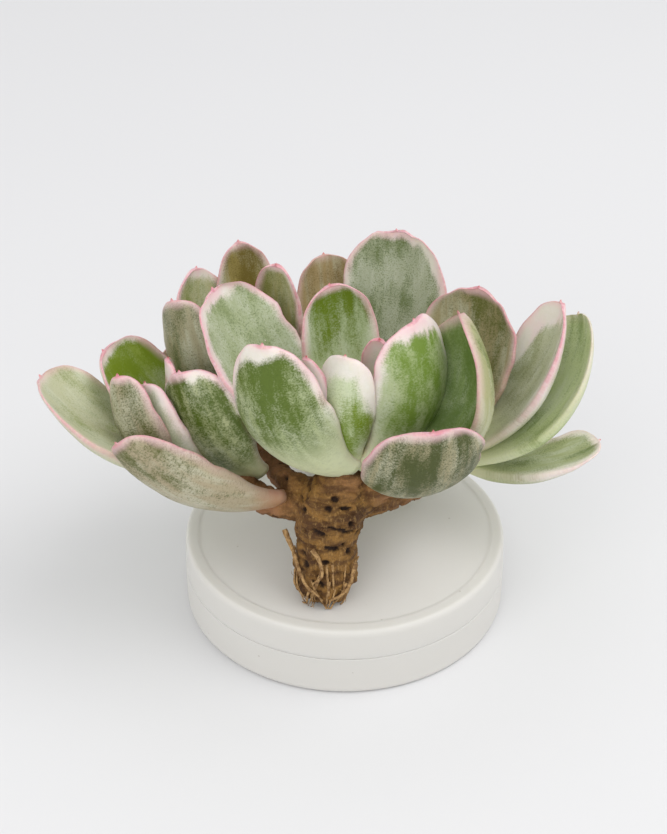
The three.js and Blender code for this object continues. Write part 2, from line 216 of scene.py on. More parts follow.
# ground, streak, base: colours on screen between the green blotches, of the blotches, and of the pale base.
# cover: share of blotches. rise: more of them towards the tip. middle: more of them down the middle.
# inner: ground, streak and cover on the cupped side, where that differs.
# foot: share of the length that pales to the base colour. speckle: strength of the fine dark dots.
# margin: width of the cream border in mm. tip: how much wider it is at the tip.
# lean: how much wider it is on the left, or below 0 on the right.
# pink: blush at the border. wave: strength of the edge's ripple.
PLAIN_LOOK = {
    "ground": (160, 170, 118), "streak": (102, 124, 48), "base": (200, 207, 162),
    "cover": 0.45, "rise": 0, "middle": 0.1, "foot": 0.3, "speckle": 0.4,
    "margin": 0.5, "tip": 0.5, "lean": 0, "pink": 0.6, "wave": 0.35,
}
LOOKS = {
    "centre_front_left": {
        "middle": 0.5, "rise": 0.6, "base": (214, 220, 180), "ground": (166, 176, 132),
        "streak": (84, 104, 24), "cover": 0.66, "foot": 0.45, "speckle": 0.5,
        "margin": 0.6, "tip": 1.0, "lean": -0.5, "pink": 0.8, "wave": 0.4,
    },
    "centre_front_right": {
        "middle": 0.6, "rise": 0.2, "ground": (172, 184, 138), "streak": (112, 138, 52),
        "cover": 0.52, "foot": 0.3, "speckle": 0.3,
        "margin": 0.5, "tip": 1.8, "lean": 0.6, "pink": 0.9, "wave": 0.5,
    },
    "right_shoot_front": {
        "ground": (154, 147, 114), "streak": (68, 76, 24), "cover": 0.74, "foot": 0.1, "speckle": 0.8,
        "margin": 0.1, "tip": 0.2, "pink": 1.0, "wave": 0.7,
    },
    "centre_front": {
        "middle": 0.1, "ground": (194, 206, 164), "streak": (112, 136, 28), "cover": 0.6,
        "rise": -0.5, "foot": 0.1,
        "speckle": 0.2, "margin": 0.6, "tip": 2.2, "pink": 0.3,
    },
    "centre_cupped": {
        "ground": (158, 158, 112), "streak": (104, 116, 50), "cover": 0.4,
        "inner": ((134, 154, 92), (100, 124, 56), 0.7),
        "foot": 0.25, "speckle": 0.2, "margin": 0.1, "tip": 0.1, "pink": 0.7, "wave": 0.6,
    },
    "centre_back": {
        "ground": (168, 182, 142), "streak": (98, 120, 16), "cover": 0.45, "rise": 1.0, "foot": 0.55,
        "speckle": 0.05, "margin": 0.3, "tip": 0.2, "pink": 0.9, "wave": 0.25,
    },
    "centre_back_left": {
        "ground": (168, 177, 142), "streak": (136, 150, 102), "cover": 0.45, "foot": 0.2,
        "speckle": 0.9,
        "margin": 0.3, "tip": 1.5, "lean": 0.5, "pink": 1.0, "wave": 0.5,
    },
    "centre_bud_right": {
        "ground": (222, 220, 204), "cover": 0.05, "speckle": 0.1, "margin": 2.6, "pink": 1.0,
    },
    "centre_bud_left": {
        "ground": (226, 202, 192), "cover": 0.05, "speckle": 0.1, "margin": 2.0, "pink": 1.0,
    },
    "left_shoot_front": {
        "base": (178, 136, 100), "rise": 0.9, "ground": (168, 156, 128), "streak": (96, 98, 46),
        "cover": 0.36, "foot": 0.15, "speckle": 0.8,
        "margin": 0.1, "tip": 0.1, "pink": 0.8, "wave": 0.5,
    },
    "left_front": {
        "ground": (168, 174, 130), "streak": (78, 96, 22), "cover": 0.7, "foot": 0.2, "speckle": 0.5,
        "margin": 0.6, "tip": 0.4, "lean": 0.5, "pink": 0.9,
    },
    "left_front_outer": {
        "ground": (166, 158, 130), "streak": (88, 92, 40), "cover": 0.55, "foot": 0.1, "speckle": 0.8,
        "margin": 0.2, "tip": 0.1, "pink": 1.0,
    },
    "left_bud_front": {
        "ground": (176, 182, 150), "streak": (130, 146, 94), "cover": 0.3, "speckle": 0.2,
        "margin": 0.6, "pink": 0.8,
    },
    "left_bud_back": {"ground": (200, 172, 160), "cover": 0.1, "speckle": 0.2, "margin": 1.6,
        "pink": 1.0},
    "left_back": {
        "middle": 0.2, "ground": (138, 156, 66), "streak": (112, 134, 22), "cover": 0.8,
        "foot": 0.02, "speckle": 0.1,
        "margin": 0.5, "tip": 0.1, "pink": 0.9, "wave": 0.25,
    },
    "left_outer": {
        "ground": (186, 188, 154), "streak": (142, 152, 98), "cover": 0.4, "foot": 0.1, "speckle": 0.4,
        "margin": 0.2, "tip": 0.1, "pink": 0.7,
    },
    "right_upper": {
        "ground": (182, 186, 154), "streak": (146, 152, 112), "cover": 0.45, "foot": 0.3,
        "speckle": 0.5,
        "margin": 0.6, "tip": 3.0, "lean": 0.9, "pink": 0.9,
    },
    "right_outer": {
        "ground": (186, 198, 148), "streak": (136, 156, 92), "cover": 0.42, "foot": 0.3, "speckle": 0.5,
        "margin": 0.3, "tip": 0.1, "pink": 0.15,
    },
    "right_low_front": {
        "ground": (156, 164, 116), "streak": (108, 124, 62), "cover": 0.42, "speckle": 0.5,
        "margin": 0.4, "pink": 0.3,
    },
    "right_back": {
        "ground": (160, 150, 112), "streak": (100, 104, 48), "cover": 0.5, "foot": 0.15, "speckle": 0.5,
        "margin": 0.2, "tip": 0.1, "pink": 0.9, "wave": 0.6,
    },
    "rear_tall": {
        "ground": (170, 176, 150), "streak": (112, 126, 80), "cover": 0.52, "foot": 0.1, "speckle": 0.9,
        "margin": 0.5, "tip": 0.9, "lean": -0.7, "pink": 0.8, "wave": 0.5,
    },
    "rear_middle": {
        "ground": (160, 140, 98), "streak": (126, 106, 60), "cover": 0.5, "speckle": 0.5,
        "margin": 0.1, "tip": 0.1,
        "pink": 0.5,
    },
    "rear_left_tall": {
        "ground": (152, 138, 80), "streak": (110, 96, 38), "cover": 0.6, "speckle": 0.3,
        "margin": 0.3, "tip": 0.1,
        "pink": 0.7,
    },
    "rear_left_upright": {
        "ground": (172, 166, 112), "streak": (126, 132, 64), "cover": 0.5, "speckle": 0.4,
        "margin": 0.3, "tip": 0.3,
        "pink": 0.9,
    },
    "rear_left_pale": {
        "ground": (178, 178, 134), "streak": (126, 140, 66), "cover": 0.42, "speckle": 0.4,
        "margin": 0.6, "pink": 0.8,
    },
    "rear_left_grey": {
        "ground": (158, 152, 122), "streak": (100, 104, 64), "cover": 0.5, "speckle": 0.7,
        "margin": 0.2, "tip": 0.1,
        "pink": 0.8,
    },
}

# Colours on screen.
LEAF_BLOOM = (206, 210, 190)
LEAF_DOTS = (30, 44, 12)
CREAM_WHITE = (232, 229, 222)
CREAM_GREEN = (216, 215, 198)
CREAM_PINK = (234, 204, 208)
BLUSH = (230, 190, 196)
ROSE_LINE = (204, 122, 138)
SPIKE_RED = (200, 98, 108)
BARK_BROWN = (82, 53, 24)
BARK_OCHRE = (144, 105, 50)
BARK_FIBRE = (180, 142, 84)
BARK_SPECK = (66, 38, 16)
BARK_RING_SHADE = (78, 48, 22)
BARK_PIT = (40, 22, 10)
YOUNG_BARK = ((126, 88, 50), (164, 116, 84))
DRY_ROOT = ((112, 78, 40), (184, 148, 98))
FROST = ((212, 210, 206), (218, 216, 212))
FROST_SIDE_SHADE = (207, 205, 200)
DUST = (150, 140, 126)
FLOOR = ((217, 217, 219), (221, 221, 222))

# ---------- camera and lights, in metres, degrees and watts ----------

CAMERA_PLACE = (-0.0021, -0.2407, 0.2013)
CAMERA_LENS = 70
CAMERA_DOWN = 34
LIGHT_TARGET = (0, 0, 0.03)
LIGHT_SIZE = 0.7
KEY_PLACE, KEY_POWER = (0.45, -0.1, 0.7), 2.6
FILL_PLACE, FILL_POWER = (-0.3, -0.6, 0.5), 1.8
WORLD_STRENGTH = 0.86
FLOOR_REACH = 2.0


# ---------- mesh helpers ----------

def smooth(low, high, x):
    """0 at low, 1 at high, with a soft start and end. low may be the larger one."""
    t = min(max((x - low) / (high - low), 0.0), 1.0)
    return t * t * (3 - 2 * t)


def mix(a, b, t):
    """The value a share t of the way from a to b."""
    return a + (b - a) * t


def new_piece(name, vertices, faces, material, nodes=(), attributes=None):
    """A smooth-shaded mesh piece riding on the plant's body. vertices are in millimetres."""
    mesh = bpy.data.meshes.new(name)
    mesh.from_pydata([tuple(Vector(v) * MM) for v in vertices], [], faces)
    mesh.polygons.foreach_set("use_smooth", [True] * len(mesh.polygons))
    for label, values in (attributes or {}).items():
        layer = mesh.attributes.new(label, "FLOAT_VECTOR", "POINT")
        layer.data.foreach_set("vector", [number for value in values for number in value])
    mesh.materials.append(material)
    mesh.update()
    piece = bpy.data.objects.new(name, mesh)
    bpy.context.scene.collection.objects.link(piece)
    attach(piece, BODY)
    if nodes:
        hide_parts(*nodes)


def ring_faces(rings, around):
    """Quads between rings of equal size, with a fan of triangles to one point at each end."""
    faces = []
    for ring in range(rings - 1):
        for j in range(around):
            k = (j + 1) % around
            a, b = ring * around, (ring + 1) * around
            faces.append((a + j, a + k, b + k, b + j))
    first, last = rings * around, rings * around + 1
    for j in range(around):
        k = (j + 1) % around
        faces.append((first, k, j))
        faces.append((last, (rings - 1) * around + j, (rings - 1) * around + k))
    return faces


# ---------- node helpers ----------

def srgb(red, green, blue):
    """A colour as seen on screen, 0 to 255, as linear light."""
    def linear(value):
        value /= 255
        return value / 12.92 if value <= 0.04045 else ((value + 0.055) / 1.055) ** 2.4
    return (linear(red), linear(green), linear(blue), 1.0)


class Nodes:
    """Short calls for building a material's node tree."""

    def __init__(self, name):
        self.material = bpy.data.materials.new(name)
        self.material.use_nodes = True
        self.tree = self.material.node_tree
        self.shader = self.tree.nodes["Principled BSDF"]

    def put(self, socket, value):
        """Links a socket to another node's output, or sets its value."""
        if isinstance(value, bpy.types.NodeSocket):
            self.tree.links.new(value, socket)
        else:
            socket.default_value = value

    def math(self, operation, a, b=0.0, clamp=False):
        node = self.tree.nodes.new("ShaderNodeMath")
        node.operation = operation
        node.use_clamp = clamp
        self.put(node.inputs[0], a)
        self.put(node.inputs[1], b)
        return node.outputs[0]

    def total(self, *terms):
        """The sum of (value, weight) pairs."""
        value, weight = terms[0]
        result = self.math("MULTIPLY", value, weight)
        for value, weight in terms[1:]:
            result = self.math("ADD", result, self.math("MULTIPLY", value, weight))
        return result

    def parts(self, vector):
        """The three numbers of a vector."""
        node = self.tree.nodes.new("ShaderNodeSeparateXYZ")
        self.tree.links.new(vector, node.inputs[0])
        return node.outputs

    def split(self, name):
        """The three numbers of a mesh attribute."""
        node = self.tree.nodes.new("ShaderNodeAttribute")
        node.attribute_name = name
        return self.parts(node.outputs["Vector"])

    def colour(self, name):
        """A mesh attribute as a colour."""
        node = self.tree.nodes.new("ShaderNodeAttribute")
        node.attribute_name = name
        return node.outputs["Color"]

    def join(self, x, y, z):
        node = self.tree.nodes.new("ShaderNodeCombineXYZ")
        for socket, value in zip(node.inputs, (x, y, z)):
            self.put(socket, value)
        return node.outputs[0]

    def noise(self, vector, scale, detail=2.0, roughness=0.5):
        node = self.tree.nodes.new("ShaderNodeTexNoise")
        self.put(node.inputs["Vector"], vector)
        self.put(node.inputs["Scale"], scale)
        self.put(node.inputs["Detail"], detail)
        self.put(node.inputs["Roughness"], roughness)
        return node.outputs["Fac"]

    def cells(self, vector, scale):
        """Distance to the nearest of many scattered points."""
        node = self.tree.nodes.new("ShaderNodeTexVoronoi")
        self.put(node.inputs["Vector"], vector)
        self.put(node.inputs["Scale"], scale)
        return node.outputs["Distance"]

    def ramp(self, value, low, high, out_low=0.0, out_high=1.0):
        """A soft step from out_low to out_high as the value goes from low to high."""
        node = self.tree.nodes.new("ShaderNodeMapRange")
        node.interpolation_type = "SMOOTHSTEP"
        for index, number in enumerate((value, low, high, out_low, out_high)):
            self.put(node.inputs[index], number)
        return node.outputs[0]

    def blend(self, factor, a, b):
        """Colour a at factor 0 and colour b at factor 1."""
        node = self.tree.nodes.new("ShaderNodeMix")
        node.data_type = "RGBA"
        node.clamp_factor = True
        self.put(node.inputs[0], factor)
        self.put(node.inputs[6], a)
        self.put(node.inputs[7], b)
        return node.outputs[2]

    def bump(self, height, strength, distance):
        node = self.tree.nodes.new("ShaderNodeBump")
        self.put(node.inputs["Height"], height)
        node.inputs["Strength"].default_value = strength
        node.inputs["Distance"].default_value = distance
        self.tree.links.new(node.outputs[0], self.shader.inputs["Normal"])

    def object_mm(self):
        """The piece's own coordinates, in millimetres."""
        node = self.tree.nodes.new("ShaderNodeTexCoord")
        scaled = self.tree.nodes.new("ShaderNodeVectorMath")
        scaled.operation = "SCALE"
        self.tree.links.new(node.outputs["Object"], scaled.inputs[0])
        scaled.inputs["Scale"].default_value = 1 / MM
        return scaled.outputs[0]


# ---------- materials ----------

def leaf_material():
    """Waxy variegated leaf: soft stippled green blotches on sage, with a pale border and a pink edge."""
    n = Nodes("leaf_skin")
    across, along, seed = n.split("blade")
    edge, reach, _ = n.split("place")
    cover, foot, speckle = n.split("tone")
    margin, pink, _ = n.split("trim")
    ground, streak, base = n.colour("ground"), n.colour("streak"), n.colour("base")
    shift = n.math("MULTIPLY", seed, 37.0)
    streak_at = n.join(across, n.math("MULTIPLY", along, 0.14), shift)
    patch_at = n.join(across, n.math("MULTIPLY", along, 0.5), n.math("ADD", shift, 11.0))
    flat_at = n.join(across, along, shift)

    streaks = n.noise(streak_at, 0.8, detail=2.5, roughness=0.5)
    patches = n.noise(patch_at, 0.27, detail=2.0, roughness=0.5)
    mottle = n.noise(flat_at, 1.1, detail=4.0, roughness=0.65)
    powder = n.noise(flat_at, 3.6, detail=2.0, roughness=0.7)

    # How deep inside the cream border a point is, with an uneven limit.
    uneven = n.total((patches, 3.0), (streaks, 2.2), (powder, 1.6))
    inside = n.math("SUBTRACT", n.math("ADD", edge, n.math("SUBTRACT", uneven, 3.4)), margin)
    heart = n.ramp(inside, -0.6, 1.1)

    # Green blotches with soft limits over the ground colour, and a faint bloom between them.
    more = n.math("SUBTRACT", cover, 0.5)
    amount = n.total((patches, 1.2), (streaks, 0.9), (mottle, 0.4), (powder, 0.8), (more, 0.9))
    dark = n.ramp(amount, 1.42, 2.1)
    between = n.math("SUBTRACT", streaks, n.math("MULTIPLY", patches, 0.5))
    bloom = n.math("MULTIPLY", n.ramp(between, 0.14, 0.42), 0.4)
    colour = n.blend(dark, n.blend(bloom, ground, srgb(*LEAF_BLOOM)), streak)

    # Fine dots, thickest where the green is.
    dotted = n.math("MULTIPLY", n.ramp(powder, 0.5, 0.66), speckle)
    dotted = n.math("MULTIPLY", dotted, n.ramp(dark, 0.0, 1.0, 0.35, 0.8))
    colour = n.blend(dotted, colour, n.blend(0.35, streak, srgb(*LEAF_DOTS)))

    # The base of the leaf pales.
    faded = n.math("MULTIPLY", foot, n.ramp(mottle, 0.2, 0.6, 0.7, 0.97))
    colour = n.blend(faded, colour, base)

    # Cream border, then pink blush, strongest towards the tip, and a rose line on the very edge.
    cream = n.blend(mottle, srgb(*CREAM_WHITE), srgb(*CREAM_GREEN))
    tint = n.math("MULTIPLY", pink, n.ramp(patches, 0.35, 0.6, 0.15, 0.55))
    cream = n.blend(tint, cream, srgb(*CREAM_PINK))
    border = n.math("MULTIPLY", n.math("SUBTRACT", 1.0, heart, clamp=True), n.ramp(margin, 0.1, 0.6))
    border = n.math("MULTIPLY", border, n.math("SUBTRACT", 1.0, n.math("MULTIPLY", foot, 0.7)))
    colour = n.blend(border, colour, cream)
    blush = n.ramp(n.math("SUBTRACT", edge, n.math("MULTIPLY", patches, 1.6)), -0.8, 0.9, 1.0, 0.0)
    colour = n.blend(n.math("MULTIPLY", n.math("MULTIPLY", blush, pink), 0.8), colour, srgb(*BLUSH))
    line = n.math("MULTIPLY", n.ramp(edge, 0.0, 0.4, 1.0, 0.0), n.ramp(mottle, 0.3, 0.62, 0.35, 1.0))
    colour = n.blend(n.math("MULTIPLY", n.math("MULTIPLY", line, pink), 0.8), colour, srgb(*ROSE_LINE))
    spike = n.ramp(reach, 1.0, 1.02)
    colour = n.blend(spike, colour, srgb(*SPIKE_RED))

    n.put(n.shader.inputs["Base Color"], colour)
    n.put(n.shader.inputs["Roughness"], n.ramp(mottle, 0.3, 0.8, 0.4, 0.58))
    n.shader.inputs["Specular IOR Level"].default_value = 0.4
    n.shader.inputs["Subsurface Weight"].default_value = 0.2
    n.shader.inputs["Subsurface Radius"].default_value = (1.0, 1.0, 0.5)
    n.shader.inputs["Subsurface Scale"].default_value = 0.0015
    n.bump(n.total((mottle, 0.6), (streaks, 0.7), (powder, 0.25)), 0.4, 0.25 * MM)
    return n.material


def bark_material():
    """Tan and brown bark with leaf-scar rings, dark pits and a fibrous grain; the rings' grooves and the
    hollows between old strands are darkened with painted shade.
    """
    n = Nodes("bark")
    at = n.object_mm()
    pit, young, ring = n.split("bark")
    x, y, z = n.parts(at)
    banded = n.join(n.math("MULTIPLY", x, 0.35), n.math("MULTIPLY", y, 0.35), n.math("MULTIPLY", z, 1.3))
    grained = n.join(x, y, n.math("MULTIPLY", z, 0.25))
    coarse = n.noise(banded, 0.5, detail=5.0, roughness=0.6)
    grain = n.noise(grained, 2.2, detail=5.0, roughness=0.7)
    fine = n.noise(at, 3.2, detail=4.0, roughness=0.7)
    colour = n.blend(n.ramp(coarse, 0.38, 0.62), srgb(*BARK_BROWN), srgb(*BARK_OCHRE))
    colour = n.blend(n.math("MULTIPLY", n.ramp(grain, 0.5, 0.72), 0.7), colour, srgb(*BARK_FIBRE))
    colour = n.blend(n.math("MULTIPLY", n.ramp(fine, 0.5, 0.35), 0.45), colour, srgb(*BARK_SPECK))
    # Darker in the ring grooves, as scar colour and painted shade, and between the strands of old bark, as
    # painted shade.
    colour = n.blend(n.math("MULTIPLY", ring, 0.75), colour, srgb(*BARK_RING_SHADE))
    skin = n.blend(n.ramp(coarse, 0.4, 0.6), *(srgb(*shade) for shade in YOUNG_BARK))
    colour = n.blend(n.math("MULTIPLY", young, 0.8), colour, skin)
    colour = n.blend(pit, colour, srgb(*BARK_PIT))
    n.put(n.shader.inputs["Base Color"], colour)
    n.put(n.shader.inputs["Roughness"], n.ramp(fine, 0.3, 0.7, 0.6, 0.85))
    n.shader.inputs["Specular IOR Level"].default_value = 0.35
    n.bump(n.math("ADD", fine, grain), 0.6, 0.4 * MM)
    return n.material


def root_material():
    """Dry tan fibre with fine lengthwise grain."""
    n = Nodes("dry_root")
    at = n.object_mm()
    tint = n.noise(at, 1.2, detail=4.0, roughness=0.7)
    colour = n.blend(n.ramp(tint, 0.35, 0.65), *(srgb(*shade) for shade in DRY_ROOT))
    n.put(n.shader.inputs["Base Color"], colour)
    n.put(n.shader.inputs["Roughness"], n.ramp(tint, 0.3, 0.7, 0.7, 0.95))
    n.bump(n.noise(at, 6.0, detail=3.0), 0.6, 0.2 * MM)
    return n.material


def frosted_material():
    """Milky frosted plastic that glows a little with painted light, with faint clouding, a soft gloss and a
    little dust.
    """
    n = Nodes("frosted_plastic")
    at = n.object_mm()
    x, y, _ = n.parts(at)
    from_axis = n.math("SQRT", n.math("ADD", n.math("MULTIPLY", x, x), n.math("MULTIPLY", y, y)))
    cloud = n.noise(at, 0.06, detail=3.0, roughness=0.6)
    grain = n.noise(at, 3.0, detail=3.0, roughness=0.6)
    dust = n.ramp(n.cells(at, 0.22), 0.035, 0.05, 1.0, 0.0)
    colour = n.blend(cloud, *(srgb(*shade) for shade in FROST))
    # Painted shade: past 27 mm from the axis the rim and side wall are coloured darker than the top, to
    # tone down the stronger light they catch.
    colour = n.blend(n.ramp(from_axis, 27.0, 28.6), colour, srgb(*FROST_SIDE_SHADE))
    colour = n.blend(n.math("MULTIPLY", dust, 0.35), colour, srgb(*DUST))
    n.put(n.shader.inputs["Base Color"], colour)
    matt = n.math("ADD", cloud, n.math("MULTIPLY", grain, 0.3))
    n.put(n.shader.inputs["Roughness"], n.ramp(matt, 0.4, 0.9, 0.34, 0.46))
    n.shader.inputs["Specular IOR Level"].default_value = 0.4
    n.shader.inputs["Subsurface Weight"].default_value = 0.6
    n.shader.inputs["Subsurface Radius"].default_value = (1.0, 0.97, 0.93)
    n.shader.inputs["Subsurface Scale"].default_value = 0.002
    # A faint glow of the base colour: painted light standing in for light scattered through the plastic.
    n.put(n.shader.inputs["Emission Color"], colour)
    n.shader.inputs["Emission Strength"].default_value = 0.05
    n.bump(grain, 0.12, 0.1 * MM)
    return n.material


def floor_material():
    """Plain matt paper."""
    n = Nodes("studio_floor")
    cloud = n.noise(n.object_mm(), 0.004)
    n.put(n.shader.inputs["Base Color"], n.blend(cloud, *(srgb(*shade) for shade in FLOOR)))
    n.shader.inputs["Roughness"].default_value = 0.75
    n.shader.inputs["Specular IOR Level"].default_value = 0.15
    return n.material


# ---------- leaves ----------

def blade_share(s, neck, widest, blunt):
    """Half width along the blade, as a share of the widest half width."""
    rise = neck + (1 - neck) * math.sin(min(s / widest, 1) * math.pi / 2) ** 1.6
    end = max((s - widest) / (1 - widest), 0)
    return rise * max(1 - end ** blunt, 0) ** (1 / (blunt - 0.4))


def blade_stations(widest, length):
    """Shares of the length where the rings lie: crowded at the round tip, then three for its spike."""
    half = LEAF_ALONG // 2
    rings = [widest * i / half for i in range(half)]
    rings += [widest + (1 - widest) * math.sin(i / half * math.pi / 2) for i in range(half)]
    spike = TIP_SPIKE / length
    return rings + [1, 1 + 0.4 * spike, 1 + 0.75 * spike]


def make_leaf(leaf, material, rng):
    """One spoon-shaped leaf, from rings across its blade that are cupped, bowed and rippled."""
    look = {**PLAIN_LOOK, **LOOKS.get(leaf["name"], {})}
    shape = LEAF_SHAPES.get(leaf["name"], {})
    neck, widest = shape.get("neck", LEAF_NECK), shape.get("widest", LEAF_WIDEST)
    blunt = shape.get("blunt", LEAF_BLUNT)
    turn, rise, roll = (math.radians(leaf[key]) for key in ("turn", "rise", "roll"))
    chord = Vector((math.cos(rise) * math.cos(turn), math.cos(rise) * math.sin(turn), math.sin(rise)))
    side = Matrix.Rotation(roll, 3, chord) @ Vector((-math.sin(turn), math.cos(turn), 0))
    inner = chord.cross(side)
    base = Vector(CROWNS[leaf["crown"]])
    base += Vector((leaf["out"] * math.cos(turn), leaf["out"] * math.sin(turn), leaf["up"]))
    seed = rng.random()
    length = leaf["length"]
    inner_look = look.get("inner", (look["ground"], look["streak"], look["cover"]))

    vertices = []
    blade, place, tone, trim, ground, streak, pale = ([] for _ in range(7))

    def record(share, s, half_width, inside):
        """Notes what the material reads at one point, share of the way across and s of the way along."""
        rim = min((1 - abs(share)) * half_width, max(1 - s, 0) * length)
        main, second, cover = inner_look if inside else (look["ground"], look["streak"], look["cover"])
        near_tip = smooth(0.3, 0.95, s)
        lean = 1 + look["lean"] * share
        blade.append((share * half_width, s * length, seed))
        place.append((rim, s, 0))
        cover += look["rise"] * (s - 0.55) + look["middle"] * (0.5 - abs(share))
        tone.append((cover, smooth(look["foot"] + 0.12, look["foot"] * 0.3, s), look["speckle"]))
        margin = look["margin"] * (0.5 + 0.5 * near_tip) + look["tip"] * near_tip * lean
        trim.append((margin, look["pink"] * (0.2 + 0.8 * near_tip), 0))
        ground.append(srgb(*main)[:3])
        streak.append(srgb(*second)[:3])
        pale.append(srgb(*look["base"])[:3])

    stations = blade_stations(widest, length)
    for s in stations:
        arc = 4 * s * (1 - s)
        slope = (4 - 8 * s) / length
        heading = (chord - inner * slope * leaf["bow"] + side * slope * leaf["sweep"]).normalized()
        across = (side - heading * heading.dot(side)).normalized()
        normal = heading.cross(across)
        middle = base + chord * s * length - inner * arc * leaf["bow"] + side * arc * leaf["sweep"]
        spike = SPIKE_RADIUS * smooth(length + TIP_SPIKE, length, s * length)
        full = leaf["width"] / 2 * blade_share(min(s, 1), neck, widest, blunt)
        spread = 0.5 + 0.5 * smooth(0, 0.5, s)
        taper = (0.75 + 0.25 * smooth(0, 0.3, s)) * (1 - 0.75 * smooth(0.45, 1, s))
        uneven = look["wave"] * smooth(0.15, 0.5, s)
        for j in range(LEAF_AROUND):
            angle = 2 * math.pi * j / LEAF_AROUND
            share, lift = math.cos(angle), math.sin(angle)
            half = math.copysign(1, share)
            frill = uneven * min(full, 3) / 3
            ripple = noise.noise(Vector((s * length * 0.28, half * 4, seed * 60)))
            half_width = max(full + frill * EDGE_RIPPLE * ripple, spike)
            curl = math.radians(leaf["cup_left"] if share > 0 else leaf["cup_right"]) * spread
            bend = curl * abs(share)
            layer = INNER_SHARE if lift > 0 else 1 - INNER_SHARE
            depth = LEAF_THICKNESS * taper * layer * math.copysign(abs(lift) ** 0.8, lift)
            depth = math.copysign(min(abs(depth), half_width * 0.9), depth)
            radius = half_width / curl
            wave = noise.noise(Vector((s * length * 0.22, half * 9, seed * 90)))
            wave *= EDGE_LIFT * frill * abs(share) ** 3
            out = math.copysign(radius * math.sin(bend) - depth * math.sin(bend), share)
            up = radius * (1 - math.cos(bend)) + depth * math.cos(bend) + wave
            notch = noise.noise(Vector((share * full * 0.4, 5, seed * 30)))
            notch *= TIP_NOTCH * uneven * smooth(0.8, 1, s) * min(full, 2) / 2
            vertices.append(middle + across * out + normal * up + chord * notch)
            record(share, s, half_width, lift > 0)
    vertices += [base - chord * 0.2, base + chord * (length + TIP_SPIKE)]
    record(0, 0, leaf["width"] * neck / 2, True)
    record(0, 1 + TIP_SPIKE / length, 0, True)
    attributes = {
        "blade": blade, "place": place, "tone": tone, "trim": trim,
        "ground": ground, "streak": streak, "base": pale,
    }
    new_piece(
        f"skin_{leaf['name']}", vertices, ring_faces(len(stations), LEAF_AROUND), material,
        [f"leaf_{leaf['name']}"], attributes,
    )


# ---------- stem and roots ----------

def smooth_line(points, count):
    """count points evenly spaced by parameter on a Catmull-Rom line through the points."""
    points = [Vector(p) for p in points]
    padded = [2 * points[0] - points[1]] + points + [2 * points[-1] - points[-2]]
    line = []
    for i in range(count):
        place = i / (count - 1) * (len(points) - 1)
        k = min(int(place), len(points) - 2)
        t = place - k
        a, b, c, d = padded[k:k + 4]
        squared, cubed = 2 * a - 5 * b + 4 * c - d, 3 * b - a - 3 * c + d
        line.append(0.5 * (2 * b + (c - a) * t + squared * t * t + cubed * t ** 3))
    return line


def tube(line, radii, around):
    """Vertices and faces of a closed tube along a line."""
    vertices = []
    sideways = Vector((0, 1, 0))
    for i, point in enumerate(line):
        heading = (line[min(i + 1, len(line) - 1)] - line[max(i - 1, 0)]).normalized()
        sideways = sideways - heading * heading.dot(sideways)
        if sideways.length < 0.1:
            sideways = heading.orthogonal()
        sideways.normalize()
        other = heading.cross(sideways)
        for j in range(around):
            angle = 2 * math.pi * j / around
            vertices.append(point + radii[i] * (sideways * math.cos(angle) + other * math.sin(angle)))
    vertices += [line[0], line[-1]]
    return vertices, ring_faces(len(line), around)


def limb_radii(radii, count):
    """count radii that pass softly from one given radius to the next."""
    out = []
    for i in range(count):
        place = i / (count - 1) * (len(radii) - 1)
        k = min(int(place), len(radii) - 2)
        out.append(mix(radii[k], radii[k + 1], smooth(0, 1, place - k)))
    return out


def limb_skin():
    """The branched stem as one smooth skin: its points, normals and faces, in millimetres."""
    vertices, faces = [], []
    for points, radii in LIMBS:
        more, quads = tube(smooth_line(points, LIMB_STEPS), limb_radii(radii, LIMB_STEPS), LIMB_AROUND)
        faces += [tuple(index + len(vertices) for index in face) for face in quads]
        vertices += more
    mesh = bpy.data.meshes.new("stem_rough")
    mesh.from_pydata([tuple(v * MM) for v in vertices], [], faces)
    rough = bpy.data.objects.new("stem_rough", mesh)
    bpy.context.scene.collection.objects.link(rough)
    remesh = rough.modifiers.new("skin", "REMESH")
    remesh.mode = "VOXEL"
    remesh.voxel_size = STEM_VOXEL * MM
    soften = rough.modifiers.new("soften", "SMOOTH")
    soften.iterations = 8
    bpy.context.view_layer.update()
    ready = rough.evaluated_get(bpy.context.evaluated_depsgraph_get())
    skin = ready.to_mesh()
    points = [v.co / MM for v in skin.vertices]
    normals = [v.normal.copy() for v in skin.vertices]
    polygons = [tuple(p.vertices) for p in skin.polygons]
    ready.to_mesh_clear()
    bpy.data.objects.remove(rough)
    return points, normals, polygons


def press_scars(points, scars):
    """How deep each point lies in one of the scars: 0 outside, 1 at the middle of a scar."""
    tree = kdtree.KDTree(len(points))
    for i, point in enumerate(points):
        tree.insert(point, i)
    tree.balance()
    depth = [0.0] * len(points)
    for place, long, tall in scars:
        middle = tree.find(place)[0]
        for point, i, _ in tree.find_range(middle, long):
            gap = point - middle
            level = abs(gap.z + 0.25 * gap.x)
            inside = 1 - math.hypot(math.hypot(gap.x, gap.y) / long, level / tall)
            depth[i] = max(depth[i], smooth(0, 0.55, inside + 0.25 * noise.noise(point * 1.9)))
    return depth


